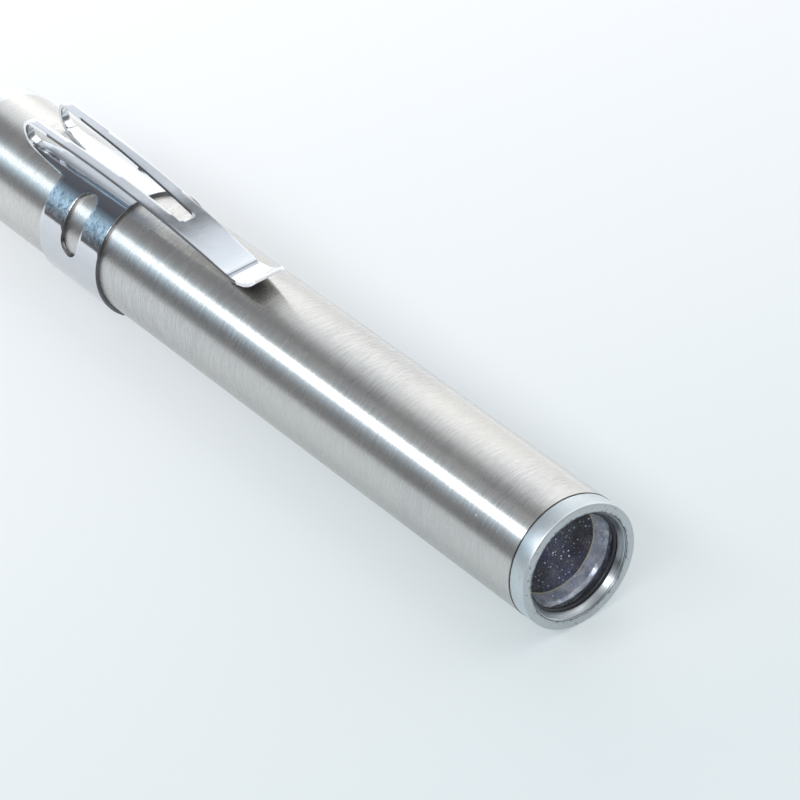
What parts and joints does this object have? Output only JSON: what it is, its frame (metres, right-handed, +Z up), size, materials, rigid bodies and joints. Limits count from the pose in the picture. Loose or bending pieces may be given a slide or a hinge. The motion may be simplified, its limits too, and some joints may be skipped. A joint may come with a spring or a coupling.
{
  "type": "penlight",
  "caption": "Slim steel penlight for one small cell, with a recessed lens, a clamped spring pocket clip and a push switch at the tail.",
  "frame": {"origin": "middle of the whole part's box, at the surface that the barrel lies on", "axes": "+X along the barrel axis towards the lens, +Z up through the pocket clip, +Y to the side"},
  "size_m": [0.1014, 0.0144, 0.0166],
  "materials": {
    "barrel_steel": "stainless, finely turned lines round the tube",
    "blasted_aluminium": "fine bead blasted, clear anodised",
    "black_rubber": "smooth nitrile",
    "lens_glass": "clear with a faint blue coating",
    "reflector_mirror": "smooth vapour coated aluminium",
    "white_plastic": "moulded",
    "emitter_ceramic": "ceramic",
    "phosphor": "yellow phosphor",
    "dome_silicone": "clear silicone",
    "board_aluminium": "white solder mask",
    "lead_wire": "red and black insulation",
    "brass": "turned",
    "circuit_board": "green solder mask",
    "black_plastic": "moulded",
    "gilt_spring": "gold plated",
    "plated_steel": "nickel plated",
    "cell_core": "pressed dark powder",
    "cell_wrap": "shrunk film",
    "spring_steel": "bright drawn wire",
    "button_steel": "satin",
    "clip_steel": "polished sheet"
  },
  "bodies": {
    "barrel": {"barrel_tube": "barrel_steel", "bezel": "blasted_aluminium", "lens_ring": "black_rubber", "lens": "lens_glass", "reflector": "reflector_mirror", "emitter_gasket": "white_plastic", "emitter_base": "emitter_ceramic", "emitter_phosphor": "phosphor", "emitter_dome": "dome_silicone", "emitter_board": "board_aluminium", "emitter_leads": "lead_wire", "heat_sink": "brass", "driver_board": "circuit_board", "driver_parts": "black_plastic", "driver_ring": "brass", "front_contact": "gilt_spring", "cell_can": "plated_steel", "cell_core": "cell_core", "cell_base": "plated_steel", "cell_nub": "plated_steel", "cell_washer": "white_plastic", "cell_wrap": "cell_wrap", "clip_base": "clip_steel"},
    "cap_carrier": {"cap_seal": "black_rubber", "tail_spring": "spring_steel"},
    "tail_cap": {"tail_cap": "blasted_aluminium", "switch_ring": "brass", "switch_board": "circuit_board", "switch_housing": "black_plastic", "switch_contact_fixed": "brass", "switch_spring": "spring_steel"},
    "plunger": {"switch_plunger": "white_plastic", "switch_contact_moving": "brass"},
    "button": {"button": "button_steel", "button_seal": "black_rubber"},
    "clip_arm": {"clip_arm": "clip_steel"}
  },
  "joints": [
    {"name": "cap_travel", "type": "slide", "parent": "barrel", "child": "cap_carrier", "axis": [-1, 0, 0], "range_m": [0, 0.005], "deforming": ["tail_spring"]},
    {"name": "cap_turn", "type": "hinge", "parent": "cap_carrier", "child": "tail_cap", "pos_m": [-0.0379, 0, 0.00675], "axis": [-1, 0, 0], "range_deg": [0, 1800]},
    {"name": "button_press", "type": "slide", "parent": "tail_cap", "child": "button", "axis": [1, 0, 0], "range_m": [0, 0.0015], "stiffness_N_per_m": 900, "springref_m": -0.0015},
    {"name": "plunger_slide", "type": "slide", "parent": "tail_cap", "child": "plunger", "axis": [1, 0, 0], "range_m": [0, 0.0015], "deforming": ["switch_spring"]},
    {"name": "clip_flex", "type": "hinge", "parent": "barrel", "child": "clip_arm", "pos_m": [-0.0379, 0, 0.01494], "axis": [0, -1, 0], "range_deg": [0, 5], "stiffness_Nm_per_rad": 2.2}
  ],
  "couplings": [
    {"joint": "cap_travel", "follows": "cap_turn", "m_per_rad": 0.00015915},
    {"joint": "plunger_slide", "follows": "button_press", "ratio": 1}
  ]
}
